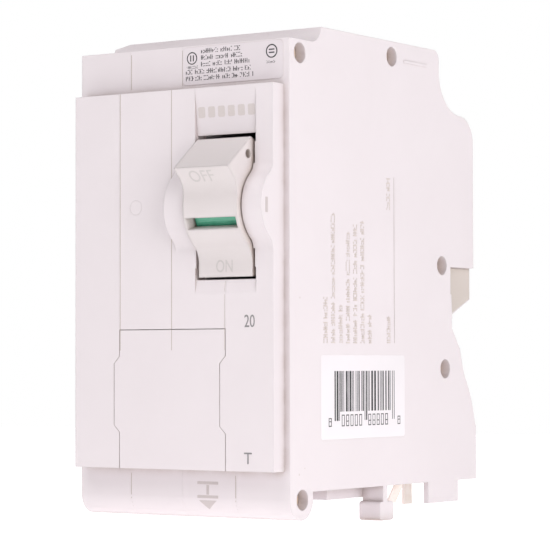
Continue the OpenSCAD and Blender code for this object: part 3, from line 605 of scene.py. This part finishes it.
def outlines(shapes):
    """A flat mesh of separate outlines, each a list of points in millimetres."""
    bm = bmesh.new()
    for shape in shapes:
        bm.faces.new([bm.verts.new((x, y, 0)) for x, y in shape])
    bmesh.ops.recalc_face_normals(bm, faces=bm.faces)
    mesh = bpy.data.meshes.new("outlines")
    bm.to_mesh(mesh)
    bm.free()
    return mesh


def bar_shape(x0, x1, y0, y1, corner=0.12, steps=3):
    """A small bar with rounded corners."""
    corner = min(corner, (x1 - x0) / 2.01, (y1 - y0) / 2.01)
    points = []
    middles = ((x1 - corner, y1 - corner), (x0 + corner, y1 - corner),
               (x0 + corner, y0 + corner), (x1 - corner, y0 + corner))
    for turn, (cx, cy) in enumerate(middles):
        for i in range(steps + 1):
            a = math.radians(90 * turn + 90 * i / steps)
            points.append((cx + corner * math.cos(a), cy + corner * math.sin(a)))
    return points


def ring_shapes(cx, cy, outer, inner, sides=32):
    """A ring as a run of short four-sided pieces."""
    shapes = []
    for i in range(sides):
        a, b = (2 * math.pi * k / sides for k in (i, i + 1))
        shapes.append([
            (cx + inner * math.cos(a), cy + inner * math.sin(a)),
            (cx + outer * math.cos(a), cy + outer * math.sin(a)),
            (cx + outer * math.cos(b), cy + outer * math.sin(b)),
            (cx + inner * math.cos(b), cy + inner * math.sin(b)),
        ])
    return shapes


def frame_shapes(x0, x1, y0, y1, line):
    """The four sides of a plain rectangular outline."""
    return [
        [(x0, y0), (x1, y0), (x1 - line, y0 + line), (x0 + line, y0 + line)],
        [(x1, y0), (x1, y1), (x1 - line, y1 - line), (x1 - line, y0 + line)],
        [(x1, y1), (x0, y1), (x0 + line, y1 - line), (x1 - line, y1 - line)],
        [(x0, y1), (x0, y0), (x0 + line, y0 + line), (x0 + line, y1 - line)],
    ]


def filler_words(chance, start, length, base, height, words, stroke):
    """A line of unreadable print: short strokes gathered into words."""
    corner = 0.06
    shapes = []
    x = start
    while x < start + length - 0.5:
        end = min(x + chance.uniform(*words), start + length)
        while x < end - 0.2:
            wide = chance.uniform(0.7, 1.25) * stroke * 1.6
            foot = base + (height * 0.5 if chance.random() < 0.18 else 0)
            top = base + height * (1.0 if chance.random() < 0.55 else 0.7)
            waist = base + (top - base) * 0.4
            kind = chance.random()
            if kind < 0.45:
                shapes.append(bar_shape(x, x + stroke, base, top, corner))
                shapes.append(bar_shape(x + stroke + 0.02, x + stroke + wide * 0.6,
                                        waist, waist + stroke, corner))
            elif kind < 0.8:
                shapes.append(bar_shape(x, x + wide, base, base + stroke, corner))
                shapes.append(bar_shape(x, x + wide, top - stroke, top, corner))
            else:
                shapes.append(bar_shape(x, x + stroke, foot, top, corner))
            x += wide + stroke * 0.75
        x = end + height * 0.45
    return shapes


FRONT = ["left_cover", "left_base", "right_base", "right_cover", "front_plate"]
SIDE = ["right_cover"]


def mark_front(name, shapes, where, finish, rise, step=None):
    """Lays flat shapes on the front of the case."""
    lay(name, outlines(shapes), where, RIGHT, UP, FRONT, "case", finish, rise, step)


def mark_side(name, shapes, finish, rise, step=None):
    """Lays flat shapes, drawn by depth and height, on the right side of the case."""
    lay(name, outlines(shapes), (SIDE_X, 0, 0), BACK, UP, SIDE, "case", finish,
        rise, step)


def handle_marks():
    """The two positions, printed on the finger faces of the handle."""
    tilt = math.radians(42.8)
    up_the_face = Vector((0, -math.sin(tilt), math.cos(tilt)))
    words = (
        ("off_mark", "OFF", 2.7, 5.7, (9.2, -5.65, 18.35), up_the_face),
        ("on_mark", "ON", 2.4, 3.9, (10.7, -1, 1.1), UP),
    )
    for name, word, tall, wide, where, up in words:
        lay(name, lettering(word, tall, wide), where, RIGHT, up, ["handle"], "handle",
            PALE_INK, 0.02, 0.3)


def face_marks():
    """Figures and plain marks on the raised face."""
    lay("size_mark", lettering("20", 2.4, 2.4), (17.4, -1, -9.55), RIGHT, UP,
        FRONT, "case", GREY_INK)
    tee = [bar_shape(0, 1.85, 1.9, 2.2), bar_shape(0.78, 1.08, 0, 1.9, 0.05)]
    mark_front("lower_mark", tee, (17.25, -1, -35.7), GREY_INK, 0.03)
    pitch, wide, tall = 2.35, 1.6, 2.1
    blocks = [bar_shape(i * pitch, i * pitch + wide, 0, tall, 0.3) for i in range(6)]
    mark_front("plain_blocks", blocks, (6.3, -1, 31.25), TAN_INK, 0.02)
    mark_front("ejector_ring", ring_shapes(0, 0, 1.5, 1.4), (-8.8, -1, 14.3),
               FINISHES["case_plastic"], 0.006)
    arrow = [
        [(2.5, 0), (4.6, 1.75), (0.4, 1.75)],
        bar_shape(0, 5.0, 2.2, 2.75, 0.08),
        bar_shape(0, 5.0, 4.9, 5.45, 0.08),
        bar_shape(2.2, 2.8, 2.9, 4.75, 0.08),
    ]
    mark_front("line_arrow", arrow, (3.55, 0, -44.9), ROSE_INK, 0.02, 0.3)


def side_specks():
    """Small blemishes in the side wall, and the stroke beside the handle's ON position."""
    places = ((6.6, -38.0, 0.42), (8.6, -36.8, 0.3), (7.0, -4.0, 0.34))
    specks = [bar_shape(y, y + size, z, z + size, size / 2) for y, z, size in places]
    mark_side("specks", specks, TAN_INK, 0.01)
    lay("guard_stroke", outlines([bar_shape(-0.4, 0.4, 0, 2.9, 0.08)]), (30, -2.2, 12.2),
        BACK, UP, SIDE, "case", ROSE_INK)


def seam_lines():
    """Fine shadow where the four mouldings meet on the raised face and the strips beside it."""
    wide = 0.055
    fine = wide * 0.6
    plate_top, face_top, band_foot, band_top = -13.9, 37.1, 38.3, 45.3
    strip_foot, strip_top = -44.8, -38.2
    runs = (
        (-POLE, plate_top, face_top, wide),
        (0, plate_top, face_top, wide),
        (POLE, plate_top, -0.6, fine),
        (-POLE, band_foot, band_top, wide),
        (0, band_foot, band_top, fine),
        (-POLE, strip_foot, strip_top, wide),
        (POLE, strip_foot, strip_top, wide),
    )
    shapes = [bar_shape(x - half, x + half, low, high, 0.01, 1) for x, low, high, half in runs]
    mark_front("seam_lines", shapes, (0, -1, 0), SEAM_SHADE, 0.006, 0.8)


def rating_print():
    """Unreadable small print on the rating label, with two plain rings."""
    chance = random.Random(20)
    tall, stroke = 0.92, 0.17
    # Where each line starts, its height above the label's foot, and its length.
    lines = ((4.4, 6.05, 9.6), (4.4, 4.75, 9.8), (4.4, 3.45, 11.6),
             (0.7, 2.05, 16.4), (0.7, 0.75, 16.6))
    shapes = []
    for start, base, length in lines:
        shapes += filler_words(chance, start, length, base, tall, (1.5, 4.6), stroke)
    shapes += ring_shapes(2.2, 5.2, 1.25, 1.03)
    shapes += [bar_shape(x, x + 0.25, 4.6, 5.8, 0.05) for x in (1.75, 2.4)]
    shapes += filler_words(chance, 0.9, 2.7, 3.15, 0.55, (2.5, 2.7), 0.14)
    shapes += ring_shapes(21.2, 5.3, 1.35, 1.1)
    shapes += [bar_shape(20.55, 21.85, y, y + 0.25, 0.05) for y in (5.5, 4.9)]
    shapes += filler_words(chance, 20.0, 2.4, 3.0, 0.5, (2.2, 2.4), 0.12)
    lay("rating_print", outlines(shapes), (0.2, 2, 38.35), RIGHT, UP,
        ["rating_label"], "case", BLACK_INK, 0.012)


def bar_stripes():
    """Made-up stripes and number blocks on the side label."""
    chance = random.Random(7)
    first_start, last_start, stripes_end = 19.3, 41.7, 41.8
    stripe_top, stripe_foot, guard_foot = -18.0, -26.0, -27.8
    digit_foot, digit_wide, digit_tall, end_digit_tall = -28.9, 1.05, 2.3, 1.7
    end_digits = (17.2, 42.9)
    digits = (17.2, 21.9, 23.5, 25.1, 26.7, 28.3, 31.7, 33.3, 34.9, 36.5, 38.1, 42.9)
    shapes = []
    x = first_start
    while x < last_start:
        wide = chance.choice((0.22, 0.22, 0.45, 0.66))
        guard = x < 21.2 or x > 40.4 or 30.2 < x < 31.2
        foot = guard_foot if guard else stripe_foot
        shapes.append(bar_shape(x, min(x + wide, stripes_end), foot, stripe_top, 0.03))
        x += wide + chance.choice((0.24, 0.3, 0.46, 0.62))
    for start in digits:
        tall = end_digit_tall if start in end_digits else digit_tall
        shapes += frame_shapes(start, start + digit_wide, digit_foot, digit_foot + tall, 0.2)
        if chance.random() < 0.5:
            shapes.append(bar_shape(start + 0.25, start + 0.8, -28.0, -27.8, 0.03))
    lay("bar_stripes", outlines(shapes), (SIDE_X, 0, 0), BACK, UP,
        ["side_label", "right_cover"], "case", BLACK_INK, 0.012)


def moulded_lines():
    """Raised, unreadable lines of mould text that run up the right side."""
    chance = random.Random(11)
    foot, tall, stroke = -12.5, 1.35, 0.2
    # How deep each line sits behind the face, and its length.
    rows = ((16.8, 9.0), (19.5, 26.0), (22.2, 7.5), (24.9, 22.0), (27.6, 23.5), (30.3, 24.5),
            (33.0, 5.5))
    shapes = []
    for depth, length in rows:
        shapes += filler_words(chance, foot, length, -depth, tall, (2.2, 6.5), stroke)
    shapes += filler_words(chance, -12.4, 6.0, -40.2, 1.3, (5.5, 6.0), stroke)
    shapes += filler_words(chance, 14.7, 6.6, -40.2, 1.3, (3.0, 3.4), stroke)
    lay("moulded_lines", outlines(shapes), (SIDE_X, 0, 0), UP, -BACK,
        SIDE, "case", MOULD_LINE, 0.05)


def side_forms():
    """A darker moulding laid on the floor of the recess beside the stab slot as painted shade, and
    two raised ribs.
    """
    recess = [(64.65, 3.65), (64.65, -1.9), (65.05, -2.1), (65.35, -6.55), (74.15, -2.7),
              (74.15, 3.65)]
    # The recess floor is laid in the darker moulding: a painted shade.
    mark_side("recess_floor_shade", [recess], RECESS_SHADE, 0.03, 0.6)
    ribs = [bar_shape(41.7, 41.9, -12.4, 21.3, 0.05), bar_shape(45.75, 55.0, 45.3, 45.9, 0.25)]
    mark_side("side_ribs", ribs, FINISHES["case_plastic"], 0.08)


handle_marks()
face_marks()
side_specks()
seam_lines()
rating_print()
bar_stripes()
moulded_lines()
side_forms()


# ---------------------------------------------------------------- floor, light and camera

FLOOR_HALF = 0.55
SURROUND_STRENGTH = 0.28
# Each softbox: its name, where it stands, the length of its side in metres, its power in watts.
SOFTBOXES = (
    ("right softbox", (0.62, -0.16, 0.16), 0.55, 3.3),
    ("front softbox", (-0.28, -0.75, 0.22), 0.6, 0.3),
    ("upper softbox", (-0.05, -0.4, 0.6), 0.5, 3.0),
    ("rear softbox", (0.1, 0.8, 0.35), 0.6, 0.8),
)
MIDDLE_OF_CASE = Vector((0, 0.035, 0))


def pale_floor():
    """The floor that the case stands on."""
    bm = bmesh.new()
    bmesh.ops.create_grid(bm, x_segments=8, y_segments=8, size=FLOOR_HALF)
    mesh = bpy.data.meshes.new("floor")
    bm.to_mesh(mesh)
    bm.free()
    floor = bpy.data.objects.new("floor", mesh)
    floor.location = (0, 0, CAD_BOX[0][2])
    bpy.context.scene.collection.objects.link(floor)
    mesh.materials.append(studio_floor())


def surround():
    """A calm white surround, seen brighter than it lights."""
    world = bpy.data.worlds.new("studio surround")
    bpy.context.scene.world = world
    world.use_nodes = True
    tree = world.node_tree
    tree.nodes.clear()
    out = tree.nodes.new("ShaderNodeOutputWorld")
    seen = tree.nodes.new("ShaderNodeBackground")
    seen.inputs["Color"].default_value = rgb(1, 1, 1)
    seen.inputs["Strength"].default_value = 1.0
    lit = tree.nodes.new("ShaderNodeBackground")
    lit.inputs["Strength"].default_value = SURROUND_STRENGTH
    way = tree.nodes.new("ShaderNodeTexCoord")
    split = tree.nodes.new("ShaderNodeSeparateXYZ")
    tree.links.new(way.outputs["Generated"], split.inputs[0])
    fall = spread(tree, split.outputs["Z"], 0.05, 0.95)
    tone = blend(tree, fall, rgb(1.0, 0.99, 1.0), rgb(0.86, 0.85, 0.86))
    tree.links.new(tone, lit.inputs["Color"])
    rays = tree.nodes.new("ShaderNodeLightPath")
    mix = tree.nodes.new("ShaderNodeMixShader")
    tree.links.new(rays.outputs["Is Camera Ray"], mix.inputs[0])
    tree.links.new(lit.outputs[0], mix.inputs[1])
    tree.links.new(seen.outputs[0], mix.inputs[2])
    tree.links.new(mix.outputs[0], out.inputs[0])


def softbox(name, where, size, power):
    """A square soft light that looks at the middle of the case."""
    lamp = bpy.data.lights.new(name, "AREA")
    lamp.energy = power
    lamp.size = size
    holder = bpy.data.objects.new(name, lamp)
    bpy.context.scene.collection.objects.link(holder)
    holder.location = where
    aim = MIDDLE_OF_CASE - Vector(where)
    holder.rotation_euler = aim.to_track_quat("-Z", "Y").to_euler()


def camera():
    """Long lens, low and to the right of the front."""
    lens = bpy.data.cameras.new("camera")
    lens.sensor_width = 36
    lens.lens = 159.29
    lens.clip_start = 0.01
    lens.clip_end = 50
    holder = bpy.data.objects.new("camera", lens)
    bpy.context.scene.collection.objects.link(holder)
    holder.location = (0.2850, -0.3815, -0.01615)
    holder.rotation_euler = [math.radians(turn) for turn in (92.04, 0.11, 34.33)]
    bpy.context.scene.camera = holder


pale_floor()
surround()
for box in SOFTBOXES:
    softbox(*box)
camera()
bpy.context.scene.view_settings.view_transform = "Standard"
